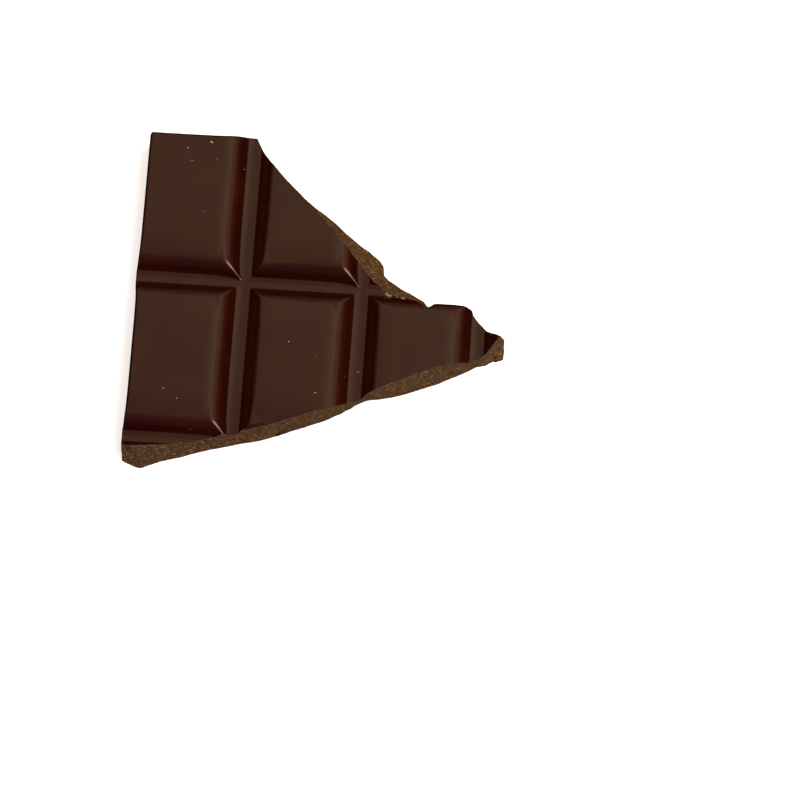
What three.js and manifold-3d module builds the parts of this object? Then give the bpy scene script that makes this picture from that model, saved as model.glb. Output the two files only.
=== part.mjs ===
// A piece broken off the corner of a moulded dark chocolate bar: six whole or part tablets,
// two moulded outer edges and two crack faces. Millimetres, +Z up, tablets on top, flat
// underside on z = 0, tablet columns along X and rows along Y. The shapes are worked out
// with the crossing of the first two grooves as zero, and the piece is centred at the end.

import * as THREE from 'three';
import { mergeVertices } from 'three/addons/utils/BufferGeometryUtils.js';
import Module from 'manifold-3d';

const wasm = await Module();
wasm.setup();

// ---- Moulded bar -----------------------------------------------------------------------

const COLUMN_PITCH = 19.0;
const ROW_PITCH = 26.6;
const BAR_THICKNESS = 7.4;
const GROOVE_DEPTH = 2.2;
const COLUMN_GROOVE_HALF = 1.12;
const ROW_GROOVE_HALF = 0.95;
const GROOVE_HOLLOW = 0.07;

// The slopes of a tablet are this wide along its sides, and narrow towards its corners.
const SLOPE_WIDTH = 2.6;
const SLOPE_WIDTH_AT = {
  north: { west: 1.2, east: 1.6 },
  south: { west: 0.9, east: 2.3 },
};
const SLOPE_TAPER_LENGTH = 1.6;

// Two slopes meet in a crest, which is sharp at the foot and round at the top. At a tablet's
// south east corner it runs on this far into the grooves' crossing.
const CREST_SHARPNESS = 16;
const CREST_REACH = 0.75;
const CREST_FADE_LENGTH = 1.8;

// The outer walls lean in from the base and stand back a little beside each tablet. Their
// upper edge is rounded, more on a tablet than at the end of a groove.
const WEST_BASE_EDGE = -17.87;
const NORTH_BASE_EDGE = 24.9;
const WALL_LEAN = 0.45;
const WEST_SET_BACK = 0.45;
const NORTH_SET_BACK = 0.6;
const WALL_ROUND = 0.6;
const GROOVE_END_ROUND = 0.15;
const BAR_CORNER_RADIUS = 0.5;

// Grooves on the piece, and how far the bar and the cutting blocks reach past the cracks.
const COLUMN_GROOVES = [0, COLUMN_PITCH, 2 * COLUMN_PITCH];
const ROW_GROOVES = [0, -ROW_PITCH];
const EAST_LIMIT = 46;
const SOUTH_LIMIT = -34;
const FAR_NORTH = 34;

// ---- Cracks ----------------------------------------------------------------------------

// Each row is one place on a crack: x, then y where the crack meets the tablets' top level
// and y where it meets the underside.
const SOUTH_CRACK = [
  [-21.0, -28.3, -28.8],
  [-17.7, -28.4, -29.4],
  [-14.6, -28.1, -30.5],
  [-11.5, -27.7, -29.3],
  [-4.7, -26.3, -27.1],
  [3.5, -24.4, -24.9],
  [7.9, -23.2, -23.4],
  [12.8, -21.3, -21.4],
  [16.4, -20.0, -19.7],
  [18.2, -19.1, -18.5],
  [20.4, -18.1, -17.2],
  [24.8, -15.8, -16.2],
  [31.4, -12.9, -13.8],
  [35.2, -11.7, -11.9],
  [37.8, -10.7, -10.5],
  [39.2, -9.8, -10.0],
  [40.3, -8.7, -9.4],
  [41.2, -7.6, -9.2],
  [43.0, -6.0, -8.6],
  [47.0, -5.0, -8.3],
];
const EAST_CRACK = [
  [-3.0, 30.0, 31.0],
  [0.1, 24.4, 25.4],
  [1.9, 21.3, 22.3],
  [4.5, 18.1, 19.3],
  [9.3, 13.5, 15.6],
  [12.4, 10.2, 13.35],
  [15.2, 7.45, 11.1],
  [18.0, 4.1, 8.95],
  [20.2, 1.25, 7.4],
  [21.8, -0.1, 5.9],
  [22.2, -0.4, 4.0],
  [23.6, -1.0, 3.0],
  [26.1, -1.4, 1.5],
  [28.6, -2.2, 0.2],
  [29.8, -2.9, -0.8],
  [31.4, -2.1, -0.8],
  [36.3, -2.35, -1.3],
  [37.1, -3.5, -2.1],
  [38.5, -5.15, -3.6],
  [40.0, -6.3, -4.6],
  [42.0, -7.05, -5.3],
  [47.0, -8.0, -6.0],
];

// The blunt tip where the two cracks meet is broken off across X.
const TIP_BREAK_X = 42.15;
const TIP_SOUTH = -14;
const TIP_NORTH = 0;

// A crack face curves out towards the underside, and small waves run over it.
const CRACK_FLARE = 1.6;
const CRACK_WAVES = [
  { size: 0.05, along: 0.83, up: 0.9, phase: 0 },
  { size: 0.03, along: 2.1, up: -1.7, phase: 1.3 },
];

// ---- Facets ----------------------------------------------------------------------------

const SLOPE_STOPS = [0.08, 0.2, 0.35, 0.55, 0.77, 1].map((share) => share * SLOPE_WIDTH);
const PLATEAU_STEP = 3.0;
const WALL_ROUND_STOPS = [0.08, 0.3, 0.6];
const WALL_LEVELS = 3;
const CRACK_STEP = 0.9;
const CRACK_LEVELS = 7;
const TIP_ROWS = 8;
const CUT_MARGIN = 1.0;

const CHOCOLATE = new THREE.MeshStandardMaterial({
  name: 'dark_chocolate',
  color: new THREE.Color(0x42291f),
  roughness: 0.38,
  metalness: 0.0,
});

/** How far along a tablet's side a place is from the tablet's corner, 0 to 1. */
function clearOfCorner(outside) {
  return 1 - Math.exp(-Math.max(outside, 0) / SLOPE_TAPER_LENGTH);
}

/** Groove that is nearest to a position. */
function nearestGroove(position, grooves) {
  return grooves.reduce(
    (best, groove) => (Math.abs(position - groove) < Math.abs(position - best) ? groove : best));
}

/** The tablet corner that is nearest to a place. */
function nearestCorner(x, y) {
  return {
    northOrSouth: y > nearestGroove(y, ROW_GROOVES) ? 'south' : 'north',
    eastOrWest: x > nearestGroove(x, COLUMN_GROOVES) ? 'west' : 'east',
  };
}

/** How far a tablet's foot stands out past its straight edge, near its south east corner. */
function crestReach({ northOrSouth, eastOrWest }, along) {
  const hasReach = northOrSouth === 'south' && eastOrWest === 'east';
  const fromTip = Math.max(along + CREST_REACH, 0);
  return hasReach ? CREST_REACH * Math.exp(-fromTip / CREST_FADE_LENGTH) : 0;
}

/** How far a place is short of the top of a slope, 1 at the foot and 0 on the flat top. */
function shortOfTop(across, along, corner) {
  const cornerWidth = SLOPE_WIDTH_AT[corner.northOrSouth][corner.eastOrWest];
  const width = THREE.MathUtils.lerp(cornerWidth, SLOPE_WIDTH, clearOfCorner(along));
  return 1 - THREE.MathUtils.clamp((across + crestReach(corner, along)) / width, 0, 1);
}

/** Part of a tablet's rise where two slopes meet, 0 at their foot and 1 on the flat top. */
function tabletRise(shortOfColumnTop, shortOfRowTop) {
  const farther = Math.max(shortOfColumnTop, shortOfRowTop);
  if (farther === 0) {
    return 1;
  }
  const power = 2 + CREST_SHARPNESS * farther ** 3;
  const shares = (shortOfColumnTop / farther) ** power + (shortOfRowTop / farther) ** power;
  return 1 - Math.min(farther * shares ** (1 / power), 1) ** 2;
}

/** Distance from the nearest groove's edge, below zero inside the groove. */
function outsideGroove(position, grooves, half) {
  return Math.abs(position - nearestGroove(position, grooves)) - half;
}

/** How much lower a groove's middle lies than its two edges. */
function grooveHollow(outside, half) {
  const fromMiddle = THREE.MathUtils.clamp(1 + outside / half, 0, 1);
  return GROOVE_HOLLOW * (1 - fromMiddle ** 2);
}

/** How far the rounded upper edge has dropped at a distance from the wall. */
function edgeDrop(fromWall, outside) {
  const radius = THREE.MathUtils.lerp(GROOVE_END_ROUND, WALL_ROUND, clearOfCorner(outside));
  const run = radius - Math.min(fromWall, radius);
  return radius - Math.sqrt(radius ** 2 - run ** 2);
}

/** Height of the moulded top at one place. */
function topHeight(x, y) {
  const acrossColumn = outsideGroove(x, COLUMN_GROOVES, COLUMN_GROOVE_HALF);
  const acrossRow = outsideGroove(y, ROW_GROOVES, ROW_GROOVE_HALF);
  const corner = nearestCorner(x, y);
  const rise = tabletRise(
    shortOfTop(acrossColumn, acrossRow, corner),
    shortOfTop(acrossRow, acrossColumn, corner),
  );
  const grooveFloor = BAR_THICKNESS - GROOVE_DEPTH;
  const hollow = Math.max(
    grooveHollow(acrossColumn, COLUMN_GROOVE_HALF),
    grooveHollow(acrossRow, ROW_GROOVE_HALF),
  );
  const westWall = x - (WEST_BASE_EDGE + WALL_LEAN);
  const northWall = NORTH_BASE_EDGE - WALL_LEAN - y;
  const drop = Math.max(edgeDrop(westWall, acrossRow), edgeDrop(northWall, acrossColumn));
  return grooveFloor + GROOVE_DEPTH * rise - hollow - drop;
}

/** Grid lines from one limit to the other: close on the grooves, wide on the tablets. */
function gridLines(from, to, grooves, half, walls) {
  const stops = [from, to, ...walls];
  for (const groove of grooves) {
    stops.push(groove, groove - half / 2, groove + half / 2, groove - half, groove + half);
    for (const stop of SLOPE_STOPS) {
      stops.push(groove - half - stop, groove + half + stop);
    }
  }
  const inside = stops.filter((stop) => stop >= from && stop <= to).sort((a, b) => a - b);
  const lines = [inside[0]];
  for (const stop of inside.slice(1)) {
    const last = lines.at(-1);
    const parts = Math.ceil((stop - last) / PLATEAU_STEP);
    for (let part = 1; part <= parts; part += 1) {
      lines.push(last + (stop - last) * part / parts);
    }
  }
  return lines;
}

/** Turns the diagonal of each quad of a box geometry to the higher pair of its corners. */
function splitAlongCrests(geometry) {
  const positions = geometry.attributes.position;
  const index = geometry.index;
  const cornersPerQuad = 6;
  for (let first = 0; first < index.count; first += cornersPerQuad) {
    const [a, b, d] = [0, 1, 2].map((offset) => index.getX(first + offset));
    const c = index.getX(first + 4);
    const [heightAC, heightBD] = [[a, c], [b, d]].map(
      ([from, to]) => positions.getZ(from) + positions.getZ(to));
    if (heightAC > heightBD) {
      [a, b, c, a, c, d].forEach((vertex, offset) => index.setX(first + offset, vertex));
    }
  }
}

/** A box geometry whose lattice of vertices is moved to the points that place() returns. */
function mappedBox(columns, rows, levels, place) {
  const geometry = new THREE.BoxGeometry(1, 1, 1, columns, rows, levels);
  geometry.deleteAttribute('normal');
  geometry.deleteAttribute('uv');
  const positions = geometry.attributes.position;
  for (let vertex = 0; vertex < positions.count; vertex += 1) {
    const column = Math.round((positions.getX(vertex) + 0.5) * columns);
    const row = Math.round((positions.getY(vertex) + 0.5) * rows);
    const level = Math.round((positions.getZ(vertex) + 0.5) * levels);
    positions.setXYZ(vertex, ...place(column, row, level));
  }
  splitAlongCrests(geometry);
  return mergeVertices(geometry);
}

/** A closed geometry as a manifold-3d solid. */
function asSolid(geometry) {
  const vertProperties = Float32Array.from(geometry.attributes.position.array);
  const triVerts = Uint32Array.from(geometry.index.array);
  return new wasm.Manifold(new wasm.Mesh({ numProp: 3, vertProperties, triVerts }));
}

/** How far a place near an outer wall moves inwards beside a tablet. */
function inwardShift(fromWall, outside, setBack) {
  const nearWall = Math.max(1 - fromWall / PLATEAU_STEP, 0);
  return setBack * clearOfCorner(outside) * nearWall;
}

/** Moves a place in the square corner of the bar into its quarter round. */
function roundedCorner(x, y, height) {
  const middleX = WEST_BASE_EDGE + WALL_LEAN + WEST_SET_BACK + BAR_CORNER_RADIUS;
  const middleY = NORTH_BASE_EDGE - WALL_LEAN - NORTH_SET_BACK - BAR_CORNER_RADIUS;
  const overX = middleX - x;
  const overY = y - middleY;
  if (overX <= 0 || overY <= 0) {
    return [x, y, height];
  }
  const pull = Math.max(overX, overY) / Math.hypot(overX, overY);
  return [middleX - overX * pull, middleY + overY * pull, height];
}

/** The corner of the whole bar, before it cracks, down to limits past the cracks. */
function mouldedCorner() {
  const west = WEST_BASE_EDGE + WALL_LEAN;
  const north = NORTH_BASE_EDGE - WALL_LEAN;
  const westStops = WALL_ROUND_STOPS.map((stop) => west + stop);
  const northStops = WALL_ROUND_STOPS.map((stop) => north - stop);
  const xs = gridLines(west, EAST_LIMIT, COLUMN_GROOVES, COLUMN_GROOVE_HALF, westStops);
  const ys = gridLines(SOUTH_LIMIT, north, ROW_GROOVES, ROW_GROOVE_HALF, northStops);
  return asSolid(mappedBox(xs.length - 1, ys.length - 1, WALL_LEVELS, (column, row, level) => {
    const share = level / WALL_LEVELS;
    const lean = WALL_LEAN * (1 - share);
    const height = topHeight(xs[column], ys[row]) * share;
    const beyondColumn = outsideGroove(xs[column], COLUMN_GROOVES, COLUMN_GROOVE_HALF);
    const beyondRow = outsideGroove(ys[row], ROW_GROOVES, ROW_GROOVE_HALF);
    const x = xs[column] + inwardShift(xs[column] - west, beyondRow, WEST_SET_BACK);
    const y = ys[row] - inwardShift(north - ys[row], beyondColumn, NORTH_SET_BACK);
    return roundedCorner(
      column === 0 ? x - lean : x, row === ys.length - 1 ? y + lean : y, height);
  }));
}

/** How far the small waves push a crack face out, at a distance along it and a height. */
function crackWave(distance, height) {
  return CRACK_WAVES.reduce(
    (sum, { size, along, up, phase }) =>
      sum + size * Math.sin(along * distance + up * height + phase), 0);
}

/** Height of one level of a cutting block, from below the piece to above it. */
function cutHeight(level) {
  return THREE.MathUtils.lerp(-CUT_MARGIN, BAR_THICKNESS + CUT_MARGIN, level / CRACK_LEVELS);
}

/** The block on one side of a crack, from its cracked face out to a far line. */
function crackBlock(places, farY) {
  const top = new THREE.SplineCurve(places.map(([x, y]) => new THREE.Vector2(x, y)));
  const base = new THREE.SplineCurve(places.map(([x, , y]) => new THREE.Vector2(x, y)));
  const length = top.getLength();
  const columns = Math.round(length / CRACK_STEP);
  const crackedRow = farY < 0 ? 1 : 0;
  return asSolid(mappedBox(columns, 1, CRACK_LEVELS, (column, row, level) => {
    const along = column / columns;
    const height = cutHeight(level);
    const fall = THREE.MathUtils.clamp(1 - height / BAR_THICKNESS, 0, 1) ** CRACK_FLARE;
    const face = top.getPoint(along).lerp(base.getPoint(along), fall);
    const wave = crackWave(along * length, height);
    return [face.x, row === crackedRow ? face.y + wave : farY, height];
  }));
}

/** The block past the blunt tip where the two cracks meet. */
function tipBlock() {
  return asSolid(mappedBox(1, TIP_ROWS, CRACK_LEVELS, (column, row, level) => {
    const y = THREE.MathUtils.lerp(TIP_SOUTH, TIP_NORTH, row / TIP_ROWS);
    const height = cutHeight(level);
    const face = TIP_BREAK_X + crackWave(y, height);
    return [column === 0 ? face : EAST_LIMIT + CUT_MARGIN, y, height];
  }));
}

/** The broken piece as one closed geometry, centred on X and Y. */
function brokenPiece() {
  const solid = mouldedCorner()
    .subtract(crackBlock(SOUTH_CRACK, SOUTH_LIMIT - CUT_MARGIN))
    .subtract(crackBlock(EAST_CRACK, FAR_NORTH))
    .subtract(tipBlock());
  const mesh = solid.getMesh();
  const geometry = new THREE.BufferGeometry();
  geometry.setAttribute('position', new THREE.BufferAttribute(mesh.vertProperties, 3));
  geometry.setIndex(new THREE.BufferAttribute(mesh.triVerts, 1));
  geometry.computeBoundingBox();
  const middle = geometry.boundingBox.getCenter(new THREE.Vector3());
  geometry.translate(-middle.x, -middle.y, -geometry.boundingBox.min.z);
  geometry.computeVertexNormals();
  return geometry;
}

const chocolatePiece = new THREE.Mesh(brokenPiece(), CHOCOLATE);
chocolatePiece.name = 'chocolate_piece';

const bar = new THREE.Group();
bar.name = 'broken_chocolate_bar';
bar.add(chocolatePiece);

export default bar;
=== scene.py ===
"""The looks of a piece broken off the corner of a moulded dark chocolate bar.

The piece has two moulded outer edges, tablets with grooves between them, and two cracked sides.
Lengths in this file are millimetres, with the crossing of the first two grooves as zero, until a
mesh is made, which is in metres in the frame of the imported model.
"""

import logging
from dataclasses import dataclass, field
from enum import Enum
from itertools import product
from typing import Any, Dict, List, Optional, Sequence, Tuple, Union

import bpy
import numpy as np
from mathutils import Matrix, Vector


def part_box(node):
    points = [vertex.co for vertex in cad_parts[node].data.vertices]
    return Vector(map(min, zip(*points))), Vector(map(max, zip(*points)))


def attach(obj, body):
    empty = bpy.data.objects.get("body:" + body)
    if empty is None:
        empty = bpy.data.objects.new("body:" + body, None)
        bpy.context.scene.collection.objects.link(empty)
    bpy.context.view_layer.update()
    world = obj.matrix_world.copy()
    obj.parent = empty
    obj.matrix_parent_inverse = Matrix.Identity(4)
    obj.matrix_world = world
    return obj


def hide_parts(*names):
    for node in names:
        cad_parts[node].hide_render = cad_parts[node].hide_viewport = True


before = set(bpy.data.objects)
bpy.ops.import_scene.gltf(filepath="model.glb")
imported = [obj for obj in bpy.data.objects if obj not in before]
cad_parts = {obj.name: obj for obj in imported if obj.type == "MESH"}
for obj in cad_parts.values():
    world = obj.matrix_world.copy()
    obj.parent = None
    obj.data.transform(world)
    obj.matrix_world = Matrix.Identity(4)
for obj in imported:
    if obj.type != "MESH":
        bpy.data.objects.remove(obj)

LOG = logging.getLogger("chocolate")
METRES = 0.001
SMALL = 1e-6
BODY = "root"
NODE = "chocolate_piece"

Array = np.ndarray
Span = Tuple[float, float]
Triple = Tuple[float, float, float]
Colour = Triple


# ---- Materials ----


@dataclass(frozen=True)
class Wire:
    """One output of a shader node, with arithmetic that adds Math nodes."""

    recipe: "Recipe"
    socket: bpy.types.NodeSocket

    def __add__(self, other: "Value") -> "Wire":
        """Sum of two values."""
        return self.recipe.math("ADD", self, other)

    def __sub__(self, other: "Value") -> "Wire":
        """This value less the other."""
        return self.recipe.math("SUBTRACT", self, other)

    def __rsub__(self, other: "Value") -> "Wire":
        """The other value less this one."""
        return self.recipe.math("SUBTRACT", other, self)

    def __mul__(self, other: "Value") -> "Wire":
        """Product of two values."""
        return self.recipe.math("MULTIPLY", self, other)

    __radd__ = __add__
    __rmul__ = __mul__


Value = Union[Wire, float]


class Recipe:
    """Node tree of one material or world, built with a single node method."""

    def __init__(self, tree: bpy.types.NodeTree) -> None:
        """Empties the tree, which is then filled by the other methods."""
        self.tree = tree
        tree.nodes.clear()

    def node(self, kind: str, settings: Optional[Dict[str, Any]] = None,
             inputs: Optional[Dict[Any, Any]] = None, output: Union[int, str] = 0) -> Wire:
        """Adds one node.

        Args:
            kind: Blender's type name of the node.
            settings: Properties to set first.
            inputs: Values or wires by socket name or number.
            output: Name or number of the output that is returned.

        Returns:
            The chosen output, or for a node without outputs the node's first input.
        """
        made = self.tree.nodes.new(kind)
        for name, value in (settings or {}).items():
            setattr(made, name, value)
        for name, value in (inputs or {}).items():
            if isinstance(value, Wire):
                self.tree.links.new(value.socket, made.inputs[name])
            else:
                made.inputs[name].default_value = value
        return Wire(self, made.outputs[output] if made.outputs else made.inputs[0])

    def math(self, operation: str, first: Value, second: Value) -> Wire:
        """One Math node on two values."""
        return self.node("ShaderNodeMath", {"operation": operation}, {0: first, 1: second})

    def place(self) -> Wire:
        """Object coordinates, in metres."""
        return self.node("ShaderNodeTexCoord", output="Object")

    def axis(self, place: Wire, name: str) -> Wire:
        """One of the X, Y and Z parts of a place or direction."""
        return self.node("ShaderNodeSeparateXYZ", None, {0: place}, output=name)

    def attribute(self, name: str) -> Wire:
        """A number stored on the mesh."""
        return self.node("ShaderNodeAttribute", {"attribute_name": name}, output="Fac")

    def distance(self, place: Wire, spot: Sequence[float]) -> Wire:
        """Distance of a place or direction from a fixed one."""
        return self.node("ShaderNodeVectorMath", {"operation": "DISTANCE"},
                         {0: place, 1: spot}, output="Value")

    def stretched(self, place: Wire, turn: Sequence[float], scale: Sequence[float]) -> Wire:
        """Coordinates turned by angles in radians, then scaled along each axis."""
        turned = self.node("ShaderNodeMapping", None, {"Vector": place, "Rotation": turn})
        return self.node("ShaderNodeMapping", None, {"Vector": turned, "Scale": scale})

    def noise(self, place: Wire, size: float, detail: float = 2.0, rough: float = 0.5) -> Wire:
        """Noise from 0 to 1 whose lumps have the given size in millimetres."""
        return self.node("ShaderNodeTexNoise", None, {
            "Vector": place, "Scale": 1.0 / (size * METRES), "Detail": detail,
            "Roughness": rough})

    def ramp(self, value: Wire, low: float, high: float) -> Wire:
        """A smooth step of a value, 0 up to low and 1 from high."""
        return self.node("ShaderNodeMapRange", {"interpolation_type": "SMOOTHSTEP"},
                         {"Value": value, "From Min": low, "From Max": high})

    def fall(self, value: Wire, low: float, high: float) -> Wire:
        """The opposite smooth step, 1 up to low and 0 from high."""
        return 1.0 - self.ramp(value, low, high)

    def length_ramp(self, value: Wire, low: float, high: float) -> Wire:
        """A smooth step of a value in metres, between two lengths in millimetres."""
        return self.ramp(value, low * METRES, high * METRES)

    def mix(self, factor: Value, first: Any, second: Any) -> Wire:
        """A colour between two colours."""
        inputs = {0: factor}
        for socket, colour in ((6, first), (7, second)):
            inputs[socket] = colour if isinstance(colour, Wire) else (*colour, 1.0)
        return self.node("ShaderNodeMix", {"data_type": "RGBA"}, inputs, output=2)

    def bump(self, height: Wire, depth: float, under: Optional[Wire] = None) -> Wire:
        """Bumped normal.

        Args:
            height: Relief from 0 to 1.
            depth: Depth of the relief in millimetres.
            under: Normal on which the relief is laid, if it isn't the surface's own.

        Returns:
            The normal for a shader.
        """
        inputs = {"Height": height, "Distance": depth * METRES}
        if under is not None:
            inputs["Normal"] = under
        return self.node("ShaderNodeBump", None, inputs)

    def principled(self, inputs: Dict[str, Any]) -> None:
        """Ends a material's tree with its one shader, whose inputs come by socket name."""
        shader = self.node("ShaderNodeBsdfPrincipled", None, inputs)
        self.node("ShaderNodeOutputMaterial", None, {"Surface": shader})


def new_material(name: str) -> Tuple[bpy.types.Material, Recipe]:
    """An empty node material and its recipe."""
    material = bpy.data.materials.new(name)
    material.use_nodes = True
    return material, Recipe(material.node_tree)


@dataclass(frozen=True)
class MouldedSkin:
    """Glossy skin that the chocolate takes from its mould."""

    deep: Colour = (0.0120, 0.0012, 0.0003)
    pale: Colour = (0.0140, 0.0017, 0.0005)
    roughness: float = 0.14
    roughness_spread: float = 0.03
    specular: float = 0.35
    cloud_size: float = 7.0
    cloud_range: Span = (0.35, 0.65)
    grain_size: float = 0.22
    grain_depth: float = 0.0024
    ripple_size: float = 3.2
    ripple_depth: float = 0.006

    def material(self) -> bpy.types.Material:
        """The skin: faint clouds of colour and gloss, with a hair of grain and ripple."""
        material, recipe = new_material("moulded_skin")
        place = recipe.place()
        clouds = recipe.ramp(recipe.noise(place, self.cloud_size, detail=3.0), *self.cloud_range)
        grain = recipe.noise(place, self.grain_size)
        ripple = recipe.noise(place, self.ripple_size, detail=1.0)
        rippled = recipe.bump(ripple, self.ripple_depth)
        recipe.principled({
            "Base Color": recipe.mix(clouds, self.deep, self.pale),
            "Roughness": self.roughness + (clouds + grain) * self.roughness_spread,
            "Specular IOR Level": self.specular,
            "Normal": recipe.bump(grain, self.grain_depth, under=rippled)})
        return material


@dataclass(frozen=True)
class CrackedGrain:
    """Dull and finely mottled break through the chocolate."""

    # Near-black painted shade inside the one pore.
    pore_shade: Colour = (0.0010, 0.0004, 0.0002)
    dark: Colour = (0.006, 0.0022, 0.0007)
    brown: Colour = (0.056, 0.0222, 0.0052)
    ochre: Colour = (0.070, 0.0275, 0.0026)
    umber: Colour = (0.050, 0.0202, 0.0024)
    tan: Colour = (0.260, 0.150, 0.050)
    # Pale colour painted as a highlight along the rim of the east crack.
    rim: Colour = (0.27, 0.160, 0.068)
    mottle_size: float = 1.2
    mottle_share: float = 0.2
    grain_size: float = 0.22
    grain_share: float = 0.6
    grain_depth: float = 0.10
    streak_turn: Triple = (0.0, 0.7, 0.35)
    streak_scale: Triple = (1.0, 1.0, 0.25)
    body_range: Span = (0.42, 0.50)
    fleck_range: Span = (0.56, 0.64)
    fleck_share: float = 0.8
    tip_slant: float = 0.5
    tip_range: Span = (-14.0, 6.0)
    north_range: Span = (1.0, 5.0)
    # Depth below the skin over which the painted rim highlight fades out.
    rim_depth: float = 0.20
    rim_highlight_range: Span = (0.30, 0.55)
    # Reach of the painted pore shade, in millimetres.
    pore_shade_size: Span = (0.36, 0.56)
    roughness: float = 0.60
    roughness_spread: float = 0.2
    specular: float = 0.16

    def material(self, pore: Sequence[float]) -> bpy.types.Material:
        """The break: brown with dark and pale specks, ochre towards the tip, umber in the north.

        Args:
            pore: Place of the one pore, whose shade is painted dark into the colour, in metres in
                the frame.

        Returns:
            The material.
        """
        material, recipe = new_material("cracked_grain")
        place = recipe.place()
        streaks = recipe.stretched(place, self.streak_turn, self.streak_scale)
        mottle = recipe.noise(place, self.mottle_size, detail=3.0, rough=0.6)
        grain = recipe.noise(place, self.grain_size, rough=0.85)
        fibres = recipe.noise(streaks, self.grain_size, rough=0.85)
        north = recipe.axis(place, "Y")
        towards_tip = recipe.axis(place, "X") - north * self.tip_slant
        southern = recipe.mix(recipe.length_ramp(towards_tip, *self.tip_range),
                              self.brown, self.ochre)
        body = recipe.mix(recipe.length_ramp(north, *self.north_range), southern, self.umber)
        shade = mottle * self.mottle_share + grain * (1.0 - self.mottle_share)
        base = recipe.mix(recipe.ramp(shade, *self.body_range), self.dark, body)
        flecks = recipe.ramp(fibres, *self.fleck_range) * self.fleck_share
        flecked = recipe.mix(flecks, base, self.tan)
        # Painted highlight: pale rim colour in specks on the break just under the skin, on the
        # east crack only.
        near_rim = recipe.fall(recipe.attribute("rim_depth"), 0.0, self.rim_depth)
        rim_highlighted = recipe.mix(near_rim * recipe.ramp(grain, *self.rim_highlight_range), flecked, self.rim)
        # Painted shade: the colour turns near black around the pore's place, standing in for the
        # shade inside the pit.
        clear_of_pore_shade = recipe.length_ramp(recipe.distance(place, pore), *self.pore_shade_size)
        relief = grain * self.grain_share + fibres * (1.0 - self.grain_share)
        recipe.principled({
            "Base Color": recipe.mix(clear_of_pore_shade, self.pore_shade, rim_highlighted),
            "Roughness": self.roughness + grain * self.roughness_spread,
            "Specular IOR Level": self.specular,
            "Normal": recipe.bump(relief, self.grain_depth)})
        return material


@dataclass(frozen=True)
class CrumbCrust:
    """Pale dry crumbs."""

    brown: Colour = (0.100, 0.060, 0.033)
    tan: Colour = (0.360, 0.250, 0.150)
    # Dark brown painted shade for the crumbs that lie in the notch.
    notch_shade: Colour = (0.055, 0.029, 0.014)
    mottle_size: float = 0.3
    mottle_range: Span = (0.35, 0.60)
    notch_range: Span = (8.0, 10.0)
    notch_shade_share: float = 0.6
    roughness: float = 0.7

    def material(self) -> bpy.types.Material:
        """Crumbs: each a mix of brown and tan, with painted shade darkening those in the notch at
        the east.
        """
        material, recipe = new_material("crumb_crust")
        place = recipe.place()
        mottle = recipe.noise(place, self.mottle_size, detail=3.0, rough=0.6)
        crust = recipe.mix(recipe.ramp(mottle, *self.mottle_range), self.brown, self.tan)
        # Painted shade: crumbs past this x, in the notch, are darkened.
        at_notch = recipe.length_ramp(recipe.axis(place, "X"), *self.notch_range)
        recipe.principled({
            "Base Color": recipe.mix(at_notch * self.notch_shade_share, crust, self.notch_shade),
            "Roughness": self.roughness})
        return material


@dataclass(frozen=True)
class PaleFloor:
    """Plain matt white floor that glows faintly."""

    colour: Colour = (0.92, 0.92, 0.92)
    roughness: float = 0.9
    glow: float = 0.26

    def material(self) -> bpy.types.Material:
        """Matt white, in one even colour."""
        material, recipe = new_material("pale_floor")
        colour = (*self.colour, 1.0)
        recipe.principled({"Base Color": colour, "Roughness": self.roughness,
                           "Emission Color": colour, "Emission Strength": self.glow})
        return material


# ---- Meshes ----


def smooth_step(value: Array) -> Array:
    """3t² - 2t³ of a value that is first cut to 0 to 1."""
    cut = np.clip(value, 0.0, 1.0)
    return cut * cut * (3.0 - 2.0 * cut)


def rounded_maximum(first: Array, second: Array, sharpness: float) -> Array:
    """The higher of two values from 0 to 1, rounded off where they come close to each other.

    It is (a^p + b^p)^(1/p), where p is 2 + sharpness · m³ and m is the higher value. So it is a
    plain distance near 0 and almost the plain maximum near 1.
    """
    higher = np.maximum(np.maximum(first, second), SMALL)
    power = 2.0 + sharpness * higher ** 3
    return higher * ((first / higher) ** power + (second / higher) ** power) ** (1.0 / power)


@dataclass(frozen=True)
class Lumps:
    """Smooth seeded lumps of one size, from -1 to 1.

    The value at a point comes from a cube of random numbers that stand one size apart, blended
    between the eight nearest with smooth steps along each axis.
    """

    size: float
    seed: int
    cells: int = 48

    def at(self, points: Array) -> Array:
        """Values at points.

        Args:
            points: Places in millimetres, with the three axes last.

        Returns:
            One value for each point.
        """
        table = np.random.default_rng(self.seed).uniform(-1.0, 1.0, (self.cells,) * 3)
        place = points / self.size
        low = np.floor(place).astype(int)
        step = smooth_step(place - low)
        total = np.zeros(points.shape[:-1])
        for corner in product((0, 1), repeat=3):
            weight = np.prod(np.where(corner, step, 1.0 - step), axis=-1)
            index = np.moveaxis((low + corner) % self.cells, -1, 0)
            total = total + weight * table[tuple(index)]
        return total


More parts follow.
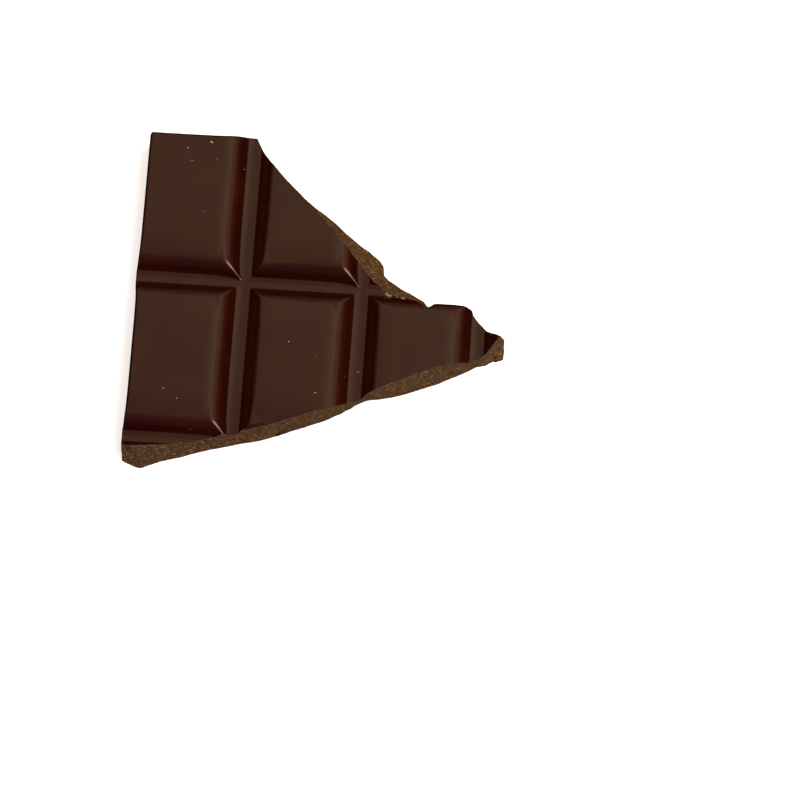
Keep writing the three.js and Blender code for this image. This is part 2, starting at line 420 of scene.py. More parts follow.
@dataclass
class Surface:
    """Points and faces that grow into one mesh."""

    points: List[Array] = field(default_factory=list)
    faces: List[Array] = field(default_factory=list)

    def add_points(self, points: Array) -> Array:
        """Adds points, and returns their numbers in the shape of the grid that they form."""
        start = sum(len(block) for block in self.points)
        flat = points.reshape(-1, 3)
        self.points.append(flat)
        return (start + np.arange(len(flat))).reshape(points.shape[:-1])

    def add_quads(self, grid: Array) -> None:
        """Adds the quads of a grid of point numbers, facing up where x and y run along it."""
        corners = (grid[:-1, :-1], grid[1:, :-1], grid[1:, 1:], grid[:-1, 1:])
        self.faces.append(np.stack(corners, axis=-1).reshape(-1, 4))

    def add_polygon(self, ring: Array) -> None:
        """Adds one face with many corners."""
        self.faces.append(ring.reshape(1, -1))

    @classmethod
    def slab(cls, face: Array, axis: int, far: float) -> "Surface":
        """A closed block behind an upright face.

        Args:
            face: Grid of points, with the block on the right of its first axis and its second
                axis going up.
            axis: The axis, 0 for x or 1 for y, on which the back is flat.
            far: Place of the back on that axis.

        Returns:
            The block.
        """
        back = face[[0, 0, -1, -1], [0, -1, -1, 0]].copy()
        back[:, axis] = far
        made = cls()
        grid = made.add_points(face)
        start_low, start_high, end_high, end_low = made.add_points(back)
        made.add_quads(grid[::-1])
        for side in ([start_low, end_low, end_high, start_high],
                     [*grid[::-1, -1], start_high, end_high],
                     [*grid[:, 0], end_low, start_low],
                     [*grid[0, ::-1], start_low, start_high],
                     [*grid[-1, :], end_high, end_low]):
            made.add_polygon(np.array(side))
        return made

    def mesh(self, name: str, shift: Array) -> bpy.types.Mesh:
        """Makes the mesh.

        Args:
            name: Name of the mesh.
            shift: Place in millimetres that becomes the origin.

        Returns:
            The mesh, in metres.
        """
        places = (np.concatenate(self.points) - shift) * METRES
        corners = np.concatenate([block.ravel() for block in self.faces])
        sizes = np.concatenate([np.full(len(block), block.shape[1]) for block in self.faces])
        made = bpy.data.meshes.new(name)
        made.vertices.add(len(places))
        made.vertices.foreach_set("co", places.astype(np.float32).ravel())
        made.loops.add(len(corners))
        made.loops.foreach_set("vertex_index", corners.astype(np.int32))
        made.polygons.add(len(sizes))
        starts = np.concatenate([[0], np.cumsum(sizes)[:-1]])
        made.polygons.foreach_set("loop_start", starts.astype(np.int32))
        made.update(calc_edges=True)
        made.validate()
        return made


def read(rows: bpy.types.bpy_prop_collection, name: str, kind: type, width: int = 1) -> Array:
    """One property of all of a mesh's points, faces, corners or edges."""
    values = np.empty(len(rows) * width, kind)
    rows.foreach_get(name, values)
    return values if width == 1 else values.reshape(-1, width)


def new_object(name: str, mesh: bpy.types.Mesh,
               materials: Sequence[bpy.types.Material]) -> bpy.types.Object:
    """An object of a mesh in the scene, with materials added in the order of their slots."""
    for material in materials:
        mesh.materials.append(material)
    made = bpy.data.objects.new(name, mesh)
    bpy.context.scene.collection.objects.link(made)
    return made


# ---- The moulded bar ----


@dataclass(frozen=True)
class Grooves:
    """Parallel grooves, with the first one's middle line at zero."""

    pitch: float
    count: int
    half: float
    sunk: float = 0.07

    @property
    def middles(self) -> Array:
        """Middle lines."""
        return self.pitch * np.arange(self.count)

    def beyond(self, position: Array) -> Array:
        """Distance from the nearest groove's edge, below zero inside the groove."""
        return np.abs(position[..., None] - self.middles).min(axis=-1) - self.half

    def passed(self, position: Array) -> Array:
        """Whether a position lies past the groove that is nearest to it."""
        nearest = np.abs(position[..., None] - self.middles).argmin(axis=-1)
        return position > self.middles[nearest]

    def hollow(self, beyond: Array) -> Array:
        """Sunk · (1 - s²) below a groove's edges, where s is 0 in its middle and 1 at an edge."""
        share = np.clip(1.0 + beyond / self.half, 0.0, 1.0)
        return self.sunk * (1.0 - share ** 2)


@dataclass(frozen=True)
class MouldedBar:
    """Corner of the whole moulded bar, before it cracks."""

    columns: Grooves = Grooves(pitch=19.0, count=3, half=1.12)
    rows: Grooves = Grooves(pitch=-26.6, count=2, half=0.95)
    thickness: float = 7.4
    groove_depth: float = 2.2
    slope_width: float = 2.6
    slope_at_north: Span = (1.2, 1.6)
    slope_at_south: Span = (0.9, 2.3)
    slope_taper: float = 1.6
    crest_reach: float = 0.75
    crest_fade: float = 1.8
    crest_sharpness: float = 16.0
    crown: float = 0.11
    crown_start: float = 2.2
    crown_reach: Span = (1.9, 4.5)
    warp: Lumps = Lumps(9.0, seed=7)
    warp_depth: float = 0.02
    west_base: float = -17.87
    north_base: float = 24.9
    east_limit: float = 46.0
    south_limit: float = -34.0
    wall_lean: float = 0.45
    west_set_back: float = 0.45
    north_set_back: float = 0.6
    wall_round: float = 0.6
    groove_end_round: float = 0.15
    corner_radius: float = 0.5
    set_back_reach: float = 3.0
    fine_step: float = 0.13
    coarse_every: int = 5
    fine_reach: float = 3.4
    fine_wall_reach: float = 1.2
    line_clearance: float = 0.4
    wall_levels: int = 12

    @property
    def west(self) -> float:
        """Where the west wall's upper edge stands."""
        return self.west_base + self.wall_lean

    @property
    def north(self) -> float:
        """Where the north wall's upper edge stands."""
        return self.north_base - self.wall_lean

    def clear_of_corner(self, beyond: Array) -> Array:
        """1 - exp(-distance / taper): how far along a tablet's side a place is, 0 to 1."""
        return 1.0 - np.exp(-np.maximum(beyond, 0.0) / self.slope_taper)

    def near_corner(self, x: Array, y: Array) -> Tuple[Array, Array]:
        """Width of the slopes at the nearest tablet corner, and how far its crest reaches out."""
        at_west, at_south = self.columns.passed(x), self.rows.passed(y)
        north, south = (np.where(at_west, *pair)
                        for pair in (self.slope_at_north, self.slope_at_south))
        return np.where(at_south, south, north), self.crest_reach * (at_south & ~at_west)

    def short_of_top(self, across: Array, along: Array, corner: Tuple[Array, Array]) -> Array:
        """How far a place is from the top of a tablet's slope, from 1 at its foot to 0.

        The width of the slope grows from the corner's to the side's with the distance along the
        side. The foot stands out by reach · exp(-(distance along + reach) / fade).
        """
        narrow, reach = corner
        width = narrow + (self.slope_width - narrow) * self.clear_of_corner(along)
        foot = reach * np.exp(-np.maximum(along + reach, 0.0) / self.crest_fade)
        return 1.0 - np.clip((across + foot) / width, 0.0, 1.0)

    def crowning(self, beyond_column: Array, beyond_row: Array) -> Array:
        """How far the crowned top has risen: 1 - a² - b², both cut at 0.

        The values a and b fall from 1 at the crown's start to 0 over its two reaches.
        """
        a, b = (1.0 - np.clip((beyond - self.crown_start) / reach, 0.0, 1.0)
                for beyond, reach in zip((beyond_column, beyond_row), self.crown_reach))
        return np.maximum(1.0 - a ** 2 - b ** 2, 0.0)

    def edge_drop(self, from_wall: Array, beyond: Array) -> Array:
        """Drop of the rounded upper edge: r - √(r² - (r - distance from the wall)²)."""
        grown = self.clear_of_corner(beyond)
        radius = self.groove_end_round + (self.wall_round - self.groove_end_round) * grown
        run = radius - np.clip(from_wall, 0.0, radius)
        return radius - np.sqrt(radius ** 2 - run ** 2)

    def height(self, x: Array, y: Array) -> Array:
        """Height of the moulded top.

        The tablets rise from the groove floor by 1 - s², where s is the rounded maximum of how
        far the two slopes are short of their tops, and they carry a low crown. The hollow of the
        grooves and the rounded outer edge are taken off.

        Args:
            x: Places across the bar.
            y: Places along the bar.

        Returns:
            Heights above the underside.
        """
        beyond_column, beyond_row = self.columns.beyond(x), self.rows.beyond(y)
        corner = self.near_corner(x, y)
        short = rounded_maximum(self.short_of_top(beyond_column, beyond_row, corner),
                                self.short_of_top(beyond_row, beyond_column, corner),
                                self.crest_sharpness)
        tablet = 1.0 - np.minimum(short, 1.0) ** 2
        hollow = np.maximum(self.columns.hollow(beyond_column), self.rows.hollow(beyond_row))
        warp = self.warp.at(np.stack([x, y, np.zeros_like(x)], axis=-1))
        crown = (self.crown + self.warp_depth * warp) * self.crowning(beyond_column, beyond_row)
        drop = np.maximum(self.edge_drop(x - self.west, beyond_row),
                          self.edge_drop(self.north - y, beyond_column))
        floor = self.thickness - self.groove_depth
        return floor + self.groove_depth * tablet + crown - hollow - drop

    def lines(self, start: float, stop: float, grooves: Grooves, wall: float) -> Array:
        """Grid lines: fine near the grooves and the wall, wide on the tablets.

        Args:
            start: First line.
            stop: Last line.
            grooves: The grooves that the lines run along.
            wall: Where the wall's upper edge stands.

        Returns:
            The lines in rising order, with one on each groove's edges.
        """
        even = np.arange(start, stop, self.fine_step)
        near_wall = np.abs(even - wall) < self.fine_wall_reach
        wanted = (grooves.beyond(even) < self.fine_reach) | near_wall
        wanted |= np.arange(len(even)) % self.coarse_every == 0
        edges = np.concatenate([grooves.middles - grooves.half, grooves.middles + grooves.half])
        edges = edges[(edges > start) & (edges < stop)]
        gaps = np.abs(even[:, None] - edges).min(axis=1)
        clear = gaps > self.line_clearance * self.fine_step
        return np.sort(np.concatenate([even[wanted & clear], edges, [stop]]))

    def set_back(self, from_wall: Array, beyond: Array, depth: float) -> Array:
        """How far a place near a wall moves in beside a tablet, fading out with the distance."""
        fading = np.maximum(1.0 - from_wall / self.set_back_reach, 0.0)
        return depth * self.clear_of_corner(beyond) * fading

    def round_corner(self, x: Array, y: Array) -> Tuple[Array, Array]:
        """Moves the square corner into its quarter round.

        Distances past the round's middle are scaled by their larger one over their length, which
        turns the square outline into a circle.
        """
        middle_x = self.west + self.west_set_back + self.corner_radius
        middle_y = self.north - self.north_set_back - self.corner_radius
        over_x = np.maximum(middle_x - x, 0.0)
        over_y = np.maximum(y - middle_y, 0.0)
        both = (over_x > 0.0) & (over_y > 0.0)
        length = np.hypot(over_x, over_y)
        pull = np.where(both, np.maximum(over_x, over_y) / np.maximum(length, SMALL), 1.0)
        return (np.where(both, middle_x - over_x * pull, x),
                np.where(both, middle_y + over_y * pull, y))

    def skin(self) -> Array:
        """Grid of the top's points, with x along the first axis and y along the second."""
        xs = self.lines(self.west, self.east_limit, self.columns, self.west)
        ys = self.lines(self.south_limit, self.north, self.rows, self.north)
        x, y = np.meshgrid(xs, ys, indexing="ij")
        z = self.height(x, y)
        beyond_column, beyond_row = self.columns.beyond(x), self.rows.beyond(y)
        moved_x = x + self.set_back(x - self.west, beyond_row, self.west_set_back)
        moved_y = y - self.set_back(self.north - y, beyond_column, self.north_set_back)
        return np.stack([*self.round_corner(moved_x, moved_y), z], axis=-1)

    def block(self) -> Surface:
        """The closed block: top, four walls that lean out towards the base, and underside."""
        made = Surface()
        grid = made.add_points(self.skin())
        made.add_quads(grid)
        ring = np.concatenate([grid[:-1, 0], grid[-1, :-1], grid[:0:-1, -1], grid[0, :0:-1]])
        rim = np.concatenate(made.points)[ring]
        on_west = np.isin(ring, grid[0, :])
        on_north = np.isin(ring, grid[:, -1])
        outward = np.stack([-1.0 * on_west, 1.0 * on_north, np.zeros(len(ring))], axis=-1)
        share = np.linspace(1.0, 0.0, self.wall_levels + 1)[1:, None]
        walls = rim[None] + (1.0 - share)[..., None] * self.wall_lean * outward[None]
        walls[..., 2] = rim[None, :, 2] * share
        lower = made.add_points(walls)
        rows = np.concatenate([ring[None], lower])
        closed = np.concatenate([rows, rows[:, :1]], axis=1)
        made.add_quads(closed)
        made.add_polygon(lower[-1][::-1])
        return made


# ---- Cracks ----


class Side(Enum):
    """Side of a crack on which the chocolate is missing."""

    SOUTH = "south"
    NORTH = "north"


@dataclass(frozen=True)
class CrackRelief:
    """Relief of a cracked face, as a shift to the north, or at the tip to the east.

    Each wave has a share, radians per millimetre along the crack and upwards, and a start.
    """

    waves: Tuple[Tuple[float, ...], ...] = ((1.0, 0.83, 0.9, 0.0), (0.6, 2.1, -1.7, 1.3))
    wave_depth: float = 0.05
    lumps: Lumps = Lumps(1.7, seed=11)
    lump_depth: float = 0.03
    grain: Lumps = Lumps(0.36, seed=12)
    grain_depth: float = 0.03
    chips: Lumps = Lumps(0.6, seed=13)
    chip_depth: float = 0.07
    chip_reach: float = 0.30
    pore: Triple = (7.1, -23.6, 0.65)
    pore_radius: Triple = (0.38, 0.9, 0.28)
    pore_depth: float = 0.55

    def at(self, points: Array, distance: Array, depth: Array) -> Array:
        """How far the face shifts at its points.

        The waves, lumps and grain are added up. Near the rim, chip depth · c² · (1 - depth below
        the skin / reach)² is taken off, where c is a lump from 0 to 1. That chips a rim that
        faces north or east. The pore is a bell-shaped pit in the face that looks south.

        Args:
            points: Places on the smooth face.
            distance: Distance along the crack.
            depth: Depth below the moulded skin.

        Returns:
            The relief in millimetres.
        """
        waves = sum(share * np.sin(along * distance + upward * points[..., 2] + start)
                    for share, along, upward, start in self.waves)
        relief = (self.wave_depth * waves + self.lump_depth * self.lumps.at(points)
                  + self.grain_depth * self.grain.at(points))
        chips = 0.5 + 0.5 * self.chips.at(points)
        near_rim = np.clip(1.0 - depth / self.chip_reach, 0.0, 1.0) ** 2
        far = ((points - np.array(self.pore)) / np.array(self.pore_radius)) ** 2
        pore = self.pore_depth * np.exp(-far.sum(axis=-1))
        return relief - self.chip_depth * chips ** 2 * near_rim + pore


@dataclass(frozen=True)
class Crack:
    """One crack through the bar.

    Each of its places is x, and then y on the crack's upper line and y on its lower line.
    """

    places: Tuple[Triple, ...]
    side: Side
    far: float
    flare: float = 1.6
    step: float = 0.17
    samples: int = 400
    levels: int = 54
    margin: float = 1.0

    @staticmethod
    def curve(points: Array, share: Array) -> Array:
        """Catmull-Rom curve through points, with the same share of the curve between each two.

        Between b and c, with a before them and d after them and t from 0 to 1, it is
        b + (c - a) t / 2 + (2a - 5b + 4c - d) t² / 2 + (3b - a - 3c + d) t³ / 2.
        """
        last = len(points) - 1
        place = share * last
        low = np.minimum(np.floor(place).astype(int), last - 1)
        t = (place - low)[..., None]
        a, b, c, d = (points[np.clip(low + offset, 0, last)] for offset in (-1, 0, 1, 2))
        square = (2.0 * a - 5.0 * b + 4.0 * c - d) * t ** 2
        cube = (3.0 * b - a - 3.0 * c + d) * t ** 3
        return b + ((c - a) * t + square + cube) / 2.0

    def face(self, bar: MouldedBar, relief: CrackRelief) -> Array:
        """Grid of the cracked face.

        A place at height h lies between the crack's upper and lower curve, by the power
        (1 - h / thickness) ^ flare, and shifts along y by the relief.

        Args:
            bar: The bar that is cracked.
            relief: The relief of the face.

        Returns:
            Points, along the crack on the first axis and up it on the second.
        """
        table = np.array(self.places)
        rough = self.curve(table[:, :2], np.linspace(0.0, 1.0, self.samples))
        length = np.hypot(*np.diff(rough, axis=0).T).sum()
        share = np.linspace(0.0, 1.0, int(length / self.step))
        upper = self.curve(table[:, :2], share)[:, None]
        lower = self.curve(table[:, ::2], share)[:, None]
        height = np.linspace(-self.margin, bar.thickness + self.margin, self.levels)
        fall = np.clip(1.0 - height / bar.thickness, 0.0, 1.0) ** self.flare
        flat = upper + (lower - upper) * fall[None, :, None]
        face = np.concatenate(
            [flat, np.broadcast_to(height[None, :, None], (*flat.shape[:2], 1))], axis=-1)
        depth = bar.height(face[..., 0], face[..., 1]) - face[..., 2]
        distance = np.broadcast_to((share * length)[:, None], depth.shape)
        face[..., 1] += relief.at(face, distance, np.abs(depth))
        return face

    def cutter(self, bar: MouldedBar, relief: CrackRelief) -> Surface:
        """The closed block on the missing side of the crack, out to the far line."""
        face = self.face(bar, relief)
        return Surface.slab(face if self.side is Side.SOUTH else face[::-1], 1, self.far)


SOUTH_CRACK = Crack(
    places=(
        (-21.0, -28.3, -28.8), (-17.7, -28.4, -29.4), (-14.6, -28.1, -30.5),
        (-11.5, -27.7, -29.3), (-4.7, -26.3, -27.1), (3.5, -24.4, -24.9), (7.9, -23.2, -23.4),
        (12.8, -21.3, -21.4), (16.4, -20.0, -19.7), (18.2, -19.1, -18.5), (20.4, -18.1, -17.2),
        (24.8, -15.8, -16.2), (31.4, -12.9, -13.8), (35.2, -11.7, -11.9), (37.8, -10.7, -10.5),
        (39.2, -9.8, -10.0), (40.3, -8.7, -9.4), (41.2, -7.6, -9.2), (43.0, -6.0, -8.6),
        (47.0, -5.0, -8.3)),
    side=Side.SOUTH, far=-35.0)
EAST_CRACK = Crack(
    places=(
        (-3.0, 30.0, 31.0), (0.1, 24.4, 25.4), (1.9, 21.3, 22.3), (4.5, 18.1, 19.3),
        (9.3, 13.5, 15.6), (12.4, 10.2, 13.35), (15.2, 7.45, 11.1), (18.0, 4.1, 8.95),
        (20.2, 1.25, 7.4), (21.8, -0.1, 5.9), (22.2, -0.4, 4.0), (23.6, -1.0, 3.0),
        (26.1, -1.4, 1.5), (28.6, -2.2, 0.2), (29.8, -2.9, -0.8), (31.4, -2.1, -0.8),
        (36.3, -2.35, -1.3), (37.1, -3.5, -2.1), (38.5, -5.15, -3.6), (40.0, -6.3, -4.6),
        (42.0, -7.05, -5.3), (47.0, -8.0, -6.0)),
    side=Side.NORTH, far=34.0)


@dataclass(frozen=True)
class TipBreak:
    """Blunt tip where the two cracks meet, broken off across x."""

    x: float = 42.15
    south: float = -14.0
    north: float = 0.0
    rows: int = 80
    levels: int = 54
    margin: float = 1.0
    knobs: Lumps = Lumps(1.1, seed=17)
    knob_depth: float = 0.16

    def cutter(self, bar: MouldedBar, relief: CrackRelief) -> Surface:
        """The closed block past the tip, with knobs on top of the relief.

        Args:
            bar: The bar that is cracked.
            relief: The relief, left out on the first and last row.

        Returns:
            The block.
        """
        rows = np.linspace(self.south, self.north, self.rows)
        heights = np.linspace(-self.margin, bar.thickness + self.margin, self.levels)
        y, height = np.meshgrid(rows, heights, indexing="ij")
        face = np.stack([np.full_like(y, self.x), y, height], axis=-1)
        depth = bar.height(face[..., 0], y) - height
        inside = (y > self.south) & (y < self.north)
        knobs = self.knob_depth * self.knobs.at(face)
        face[..., 0] += inside * (knobs + relief.at(face, y, np.abs(depth)))
        return Surface.slab(face, 0, bar.east_limit + self.margin)


# ---- The piece ----


@dataclass(frozen=True)
class ChocolatePiece:
    """The broken piece: the moulded bar with its cracks taken off."""

    bar: MouldedBar = MouldedBar()
    relief: CrackRelief = CrackRelief()
    cracks: Tuple[Crack, ...] = (SOUTH_CRACK, EAST_CRACK)
    tip: TipBreak = TipBreak()
    # South of this y no rim highlight is painted.
    rim_south_end: float = -8.0
    unhighlighted_depth: float = 9.0
    downward: float = -0.99
    underside_kind: int = 2
    name: str = "broken_chocolate"

    def origin(self) -> Array:
        """The frame's origin in the bar's own places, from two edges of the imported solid."""
        low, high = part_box(NODE)
        return np.array([self.bar.west_base - low.x / METRES,
                         self.bar.north_base - high.y / METRES, 0.0])

    def build(self) -> bpy.types.Object:
        """Makes the finished piece.

        Returns:
            The object, with the moulded skin in its first slot and the break in its second.
        """
        origin = self.origin()
        skin = MouldedSkin().material()
        grain = CrackedGrain().material((np.array(self.relief.pore) - origin) * METRES)
        block = new_object("uncracked", self.bar.block().mesh("uncracked", origin), [skin])
        cutters = [crack.cutter(self.bar, self.relief) for crack in self.cracks]
        cutters.append(self.tip.cutter(self.bar, self.relief))
        blades = [new_object("blade", cutter.mesh("blade", origin), [grain])
                  for cutter in cutters]
        for blade in blades:
            cut = block.modifiers.new("crack", "BOOLEAN")
            cut.operation = "DIFFERENCE"
            cut.solver = "MANIFOLD"
            cut.material_mode = "TRANSFER"
            cut.object = blade
        depsgraph = bpy.context.evaluated_depsgraph_get()
        mesh = bpy.data.meshes.new_from_object(block.evaluated_get(depsgraph))
        mesh.name = self.name
        for spare in (block, *blades):
            bpy.data.objects.remove(spare)
        self.mark_rim_highlight(mesh, origin)
        self.sharpen(mesh)
        return new_object(self.name, mesh, [])

    def mark_rim_highlight(self, mesh: bpy.types.Mesh, origin: Array) -> None:
        """Stores each point's depth below the skin, which places the painted rim highlight, but a
        great one south of the rim's end, where no highlight is painted.
        """
        points = read(mesh.vertices, "co", np.float32, 3) / METRES + origin
        depth = self.bar.height(points[:, 0], points[:, 1]) - points[:, 2]
        depth = np.where(points[:, 1] < self.rim_south_end, self.unhighlighted_depth, depth)
        stored = mesh.attributes.new("rim_depth", "FLOAT", "POINT")
        stored.data.foreach_set("value", np.maximum(depth, 0.0).astype(np.float32))

    def sharpen(self, mesh: bpy.types.Mesh) -> None:
        """Smooths all faces, with hard edges where skin, break and underside meet."""
        kind = read(mesh.polygons, "material_index", np.int32)
        normals = read(mesh.polygons, "normal", np.float32, 3)
        kind[normals[:, 2] < self.downward] = self.underside_kind
        mesh.polygons.foreach_set("use_smooth", np.ones(len(kind), bool))
        starts = read(mesh.polygons, "loop_start", np.int32)
        edges = read(mesh.loops, "edge_index", np.int32)
        owner = np.searchsorted(starts, np.arange(len(edges)), side="right") - 1
        lowest = np.full(len(mesh.edges), self.underside_kind, np.int32)
        highest = np.zeros(len(mesh.edges), np.int32)
        np.minimum.at(lowest, edges, kind[owner])
        np.maximum.at(highest, edges, kind[owner])
        mesh.edges.foreach_set("use_edge_sharp", lowest != highest)


@dataclass(frozen=True)
class Crumb:
    """One chip or speck: its place, its length and width, and its turn in radians."""

    x: float
    y: float
    length: float
    width: float
    turn: float = 0.0


@dataclass(frozen=True)
class Crumbs:
    """Small chips and specks that lie on the moulded skin."""

    bar: MouldedBar = MouldedBar()
    crumbs: Tuple[Crumb, ...] = (
        Crumb(-6.86, 22.52, 0.55, 0.28, -0.5), Crumb(-10.71, 21.34, 0.20, 0.17),
        Crumb(-9.83, 19.27, 0.24, 0.16, -0.4), Crumb(-1.47, 18.81, 0.20, 0.15),
        Crumb(-5.82, 19.69, 0.12, 0.11), Crumb(-7.19, 10.79, 0.10, 0.10),
        Crumb(-11.26, -19.06, 0.26, 0.20, 0.3), Crumb(-8.97, -20.56, 0.19, 0.15),
        Crumb(-6.54, -25.14, 0.14, 0.12), Crumb(8.06, -10.11, 0.17, 0.13),
        Crumb(12.62, -12.23, 0.13, 0.12), Crumb(19.36, -13.71, 0.24, 0.20),
        Crumb(17.33, -14.89, 0.17, 0.13), Crumb(12.92, -18.25, 0.25, 0.20),
        Crumb(23.30, -0.72, 1.05, 0.42, -0.15), Crumb(22.95, -0.45, 0.50, 0.30, 0.5),
        Crumb(24.70, -1.00, 0.42, 0.24, -0.6), Crumb(25.70, -1.30, 0.62, 0.30, -0.35),
        Crumb(25.25, -1.05, 0.26, 0.20))
    rings: int = 9
    sectors: int = 14
    flatness: float = 0.5
    sunk: float = 0.3
    roughness: float = 0.45
    lumps: Lumps = Lumps(0.6, seed=31)
    lump_shift: float = 5.0
    name: str = "crumbs"

    def ball(self) -> Array:
        """Points of a round ball in rings from its top to its bottom, without its poles."""
        lift = np.linspace(0.0, np.pi, self.rings + 2)[1:-1, None]
        turn = np.linspace(0.0, 2.0 * np.pi, self.sectors, endpoint=False)[None]
        return np.stack(np.broadcast_arrays(
            np.sin(lift) * np.cos(turn), np.sin(lift) * np.sin(turn), np.cos(lift)), axis=-1)

    def shape(self, crumb: Crumb, number: int) -> Array:
        """Points of one crumb.

        The ball's radius is scaled by 1 + roughness · lumps. Then it is stretched to the crumb's
        size, flattened, turned, and sunk a little into the skin below it.

        Args:
            crumb: The crumb.
            number: Its number, which picks its lumps.

        Returns:
            A grid of points, in rings from the top down.
        """
        ball = self.ball()
        lumps = self.lumps.at(ball + self.lump_shift * number)
        sizes = 0.5 * np.array([crumb.length, crumb.width, crumb.width * self.flatness])
        shape = ball * (1.0 + self.roughness * lumps)[..., None] * sizes
        cosine, sine = np.cos(crumb.turn), np.sin(crumb.turn)
        level = float(self.bar.height(np.array(crumb.x), np.array(crumb.y)))
        lift = (1.0 - 2.0 * self.sunk) * sizes[2]
        return np.stack([crumb.x + shape[..., 0] * cosine - shape[..., 1] * sine,
                         crumb.y + shape[..., 0] * sine + shape[..., 1] * cosine,
                         level + lift + shape[..., 2]], axis=-1)

    def build(self, origin: Array) -> bpy.types.Object:
        """Makes the crumbs as one mesh.

        Args:
            origin: The frame's origin in the bar's own places.

        Returns:
            The object.
        """
        made = Surface()
        for number, crumb in enumerate(self.crumbs):
            grid = made.add_points(self.shape(crumb, number))
            made.add_quads(np.concatenate([grid, grid[:, :1]], axis=1))
            made.add_polygon(grid[0])
            made.add_polygon(grid[-1, ::-1])
        return new_object(self.name, made.mesh(self.name, origin), [CrumbCrust().material()])


# ---- Studio ----


@dataclass(frozen=True)
class SoftBox:
    """A rectangular soft light that faces the piece.

    Azimuth is in degrees from the x axis towards the y axis, and elevation in degrees above the
    floor. Width lies level and height stands upright across the way to the piece. A light that
    isn't mirrored leaves no reflection on the piece, and one that doesn't shed leaves only that.
    """

    name: str
    azimuth: float
    elevation: float
    width: float
    height: float
    radiance: float
    colour: Colour
    distance: float = 600.0
    mirrored: bool = True
    shed: bool = True

    def build(self) -> None:
        """Adds the light."""
        turn = np.radians(self.azimuth)
        lift = np.radians(self.elevation)
        outward = Vector((np.cos(turn) * np.cos(lift), np.sin(turn) * np.cos(lift),
                          np.sin(lift)))
        data = bpy.data.lights.new(self.name, "AREA")
        data.shape = "RECTANGLE"
        data.size = self.width * METRES
        data.size_y = self.height * METRES
        data.energy = self.radiance * np.pi * data.size * data.size_y
        data.color = self.colour
        lamp = bpy.data.objects.new(self.name, data)
        lamp.location = outward * self.distance * METRES
        lamp.rotation_mode = "QUATERNION"
        lamp.rotation_quaternion = outward.to_track_quat("Z", "Y")
        lamp.visible_glossy = self.mirrored
        lamp.visible_diffuse = self.shed
        bpy.context.scene.collection.objects.link(lamp)


@dataclass(frozen=True)
class Sky:
    """Soft dome, drawn from the parts of a direction to the east, to the north and upwards.

    Each pair of numbers holds the two values of such a part that a ramp runs between.
    """

    warm: Colour = (5.08, 4.12, 2.34)
    cool: Colour = (3.80, 2.90, 2.75)
    dusk: Colour = (0.220, 0.070, 0.110)
    ember: Colour = (0.420, 0.100, 0.050)
    umber: Colour = (0.420, 0.250, 0.160)
    black: Colour = (0.0, 0.0, 0.0)
    north_steps: Tuple[Tuple[Span, float], ...] = (
        ((-1.2, 0.1), 0.066), ((0.12, 0.34), 0.106), ((0.36, 0.58), -0.04))
    north_end: Span = (0.60, 0.90)
    horizon: Span = (0.0, 0.12)
    west_end: Span = (-0.75, -0.45)
    east_end: Span = (0.72, 0.94)
    band_rise: Span = (-0.08, 0.10)
    band_fall: Span = (0.22, 0.55)
    band_gain: float = 0.8
    spot: Triple = (0.26, -0.10, 0.96)
    spot_range: Span = (0.08, 0.42)
    spot_gain: float = 5.0
    warm_east: Span = (0.15, 0.40)
    warm_south: Span = (0.27, 0.31)
    warm_north: Span = (0.34, 0.50)
    warm_high: Span = (0.45, 0.85)
    ember_east: Span = (0.10, 0.50)
    dusk_rise: Span = (0.0, 0.30)
    dusk_west: Span = (-0.70, -0.30)

    def level(self, recipe: Recipe, spot: Wire, east: Wire, north: Wire, up: Wire) -> Wire:
        """How much of the light shows: it ends low down, and is brighter in a band and a spot."""
        level = sum(recipe.ramp(north, *span) * step for span, step in self.north_steps)
        level = level * recipe.fall(north, *self.north_end) * recipe.ramp(up, *self.horizon)
        level = level * recipe.ramp(east, *self.west_end) * recipe.fall(east, *self.east_end)
        band = recipe.ramp(east, *self.band_rise) * recipe.fall(east, *self.band_fall)
        return level * (1.0 + band * self.band_gain + spot * self.spot_gain)

    def tint(self, recipe: Recipe, east: Wire, north: Wire, up: Wire) -> Wire:
        """Colour of the light: cool, but warm high up, in the north and in the south east."""
        south_east = recipe.ramp(east, *self.warm_east) * recipe.fall(north, *self.warm_south)
        warm = recipe.math("MAXIMUM", south_east, recipe.ramp(north, *self.warm_north))
        warm = recipe.math("MAXIMUM", recipe.ramp(up, *self.warm_high), warm)
        return recipe.mix(warm, self.cool, self.warm)

    def shade(self, recipe: Recipe, east: Wire, north: Wire, up: Wire) -> Wire:
        """Colour under the light: dusk, ember in the east, umber in the north, black low down."""
        low = recipe.mix(recipe.ramp(east, *self.ember_east), self.dusk, self.ember)
        low = recipe.mix(recipe.ramp(north, *self.north_end), low, self.umber)
        lit = recipe.ramp(up, *self.dusk_rise) * recipe.ramp(east, *self.dusk_west)
        return recipe.mix(lit, self.black, low)

    def build(self) -> None:
        """Makes the dome the scene's world."""
        world = bpy.data.worlds.new("studio_dome")
        bpy.context.scene.world = world
        world.use_nodes = True
        recipe = Recipe(world.node_tree)
        direction = recipe.node("ShaderNodeTexCoord", output="Generated")
        parts = [recipe.axis(direction, name) for name in "XYZ"]
        spot = recipe.fall(recipe.distance(direction, self.spot), *self.spot_range)
        colour = recipe.mix(self.level(recipe, spot, *parts), self.shade(recipe, *parts),
                            self.tint(recipe, *parts))
        shader = recipe.node("ShaderNodeBackground", None, {"Color": colour, "Strength": 1.0})
        recipe.node("ShaderNodeOutputWorld", None, {"Surface": shader})


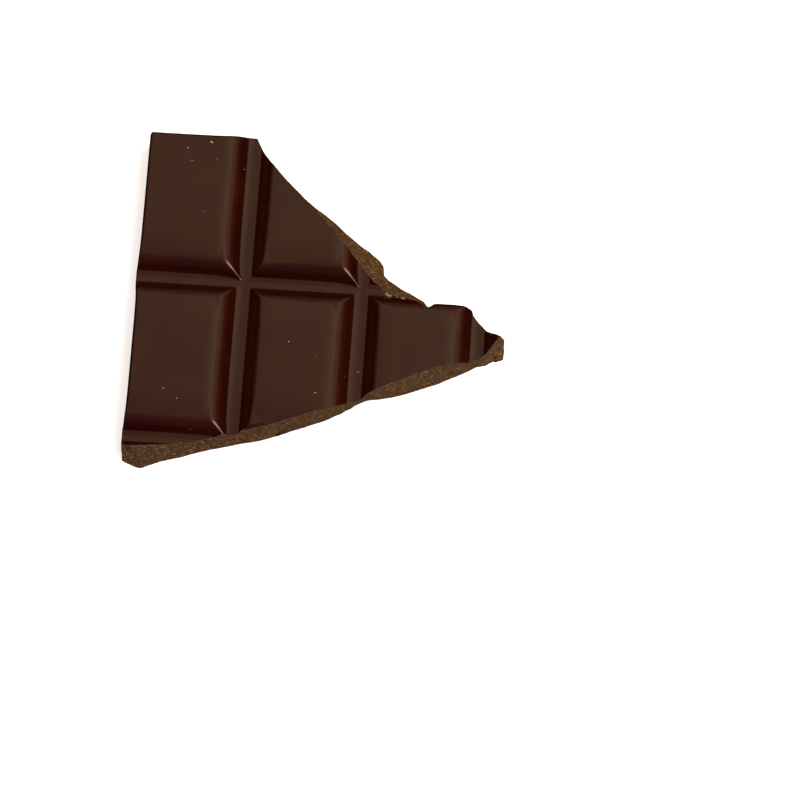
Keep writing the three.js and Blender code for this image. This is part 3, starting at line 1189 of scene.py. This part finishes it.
@dataclass(frozen=True)
class Studio:
    """Camera, pale floor and soft light."""

    lens: float = 202.5
    sensor: float = 36.0
    clip_end: float = 100.0
    eye: Triple = (44.441, -204.930, 694.83)
    right: Triple = (0.99720, 0.07071, -0.02431)
    up: Triple = (-0.06168, 0.96166, 0.26725)
    floor_size: float = 3000.0
    boxes: Tuple[SoftBox, ...] = (
        SoftBox("tall_south_east", azimuth=-33.0, elevation=32.0, width=250.0, height=720.0,
                radiance=10.5, colour=(1.0, 0.74, 0.54), shed=False),
        SoftBox("east_key", azimuth=-8.0, elevation=56.0, width=500.0, height=500.0,
                radiance=7.4, colour=(0.84, 0.91, 1.0), mirrored=False),
        SoftBox("west_fill", azimuth=178.0, elevation=48.0, width=500.0, height=500.0,
                radiance=3.3, colour=(0.86, 0.93, 1.0), mirrored=False),
    )

    def camera(self) -> None:
        """A long lens from the south, well above the piece."""
        right = Vector(self.right).normalized()
        back = right.cross(Vector(self.up)).normalized()
        up = back.cross(right)
        turn = Matrix((right, up, back)).transposed().to_4x4()
        data = bpy.data.cameras.new("camera")
        data.lens = self.lens
        data.sensor_width = self.sensor
        data.clip_end = self.clip_end
        camera = bpy.data.objects.new("camera", data)
        camera.matrix_world = Matrix.Translation(Vector(self.eye) * METRES) @ turn
        bpy.context.scene.collection.objects.link(camera)
        bpy.context.scene.camera = camera

    def floor(self) -> None:
        """A wide matt floor on which the piece lies, left out of its reflections."""
        half = self.floor_size / 2.0
        corners = np.array([[-half, -half, 0.0], [half, -half, 0.0],
                            [half, half, 0.0], [-half, half, 0.0]])
        made = Surface()
        made.add_polygon(made.add_points(corners))
        floor = new_object("floor", made.mesh("floor", np.zeros(3)), [PaleFloor().material()])
        floor.visible_glossy = False

    def build(self) -> None:
        """Sets up the whole studio."""
        self.camera()
        self.floor()
        for box in self.boxes:
            box.build()
        Sky().build()
        bpy.context.scene.view_settings.view_transform = "Standard"


def main() -> None:
    """Builds the studio and the piece."""
    logging.basicConfig(level=logging.INFO, format="%(name)s: %(message)s")
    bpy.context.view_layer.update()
    Studio().build()
    maker = ChocolatePiece()
    piece = maker.build()
    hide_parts(NODE)
    crumbs = Crumbs().build(maker.origin())
    for made in (piece, crumbs):
        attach(made, BODY)
        LOG.info("%s: %d faces", made.name, len(made.data.polygons))


if __name__ == "__main__":
    main()
